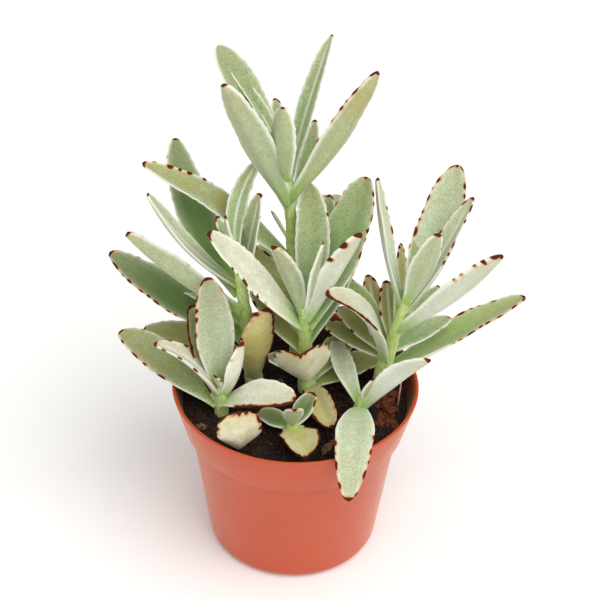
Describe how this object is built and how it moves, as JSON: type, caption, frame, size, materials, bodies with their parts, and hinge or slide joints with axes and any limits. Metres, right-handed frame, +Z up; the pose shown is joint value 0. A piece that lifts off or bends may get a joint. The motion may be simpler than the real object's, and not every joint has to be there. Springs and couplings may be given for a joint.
{
  "type": "potted kalanchoe",
  "caption": "Bushy succulent with upright felted grey-green leaves, brown-toothed near the tips, rooted in dark soil in a round tapered terracotta-coloured plastic pot.",
  "frame": {"origin": "centre of the pot's underside", "axes": "+Z up along the pot's axis, -Y towards the viewer of the front, +X to the viewer's right"},
  "size_m": [0.1801, 0.1391, 0.2183],
  "materials": {
    "pot_plastic": "terracotta-coloured polypropylene, satin",
    "potting_soil": "dark moist peat potting soil, matt and crumbly",
    "leaf": "living succulent leaf and stem under a short felt of pale hairs, grey-green, with brown teeth at the margins"
  },
  "bodies": {
    "root": {"pot": "pot_plastic", "soil": "potting_soil", "stem_tall": "leaf", "stem_left": "leaf", "stem_centre": "leaf", "stem_front_left": "leaf", "stem_front_rim": "leaf", "stem_front_centre": "leaf", "stem_front_right": "leaf", "stem_right": "leaf"}
  },
  "joints": []
}
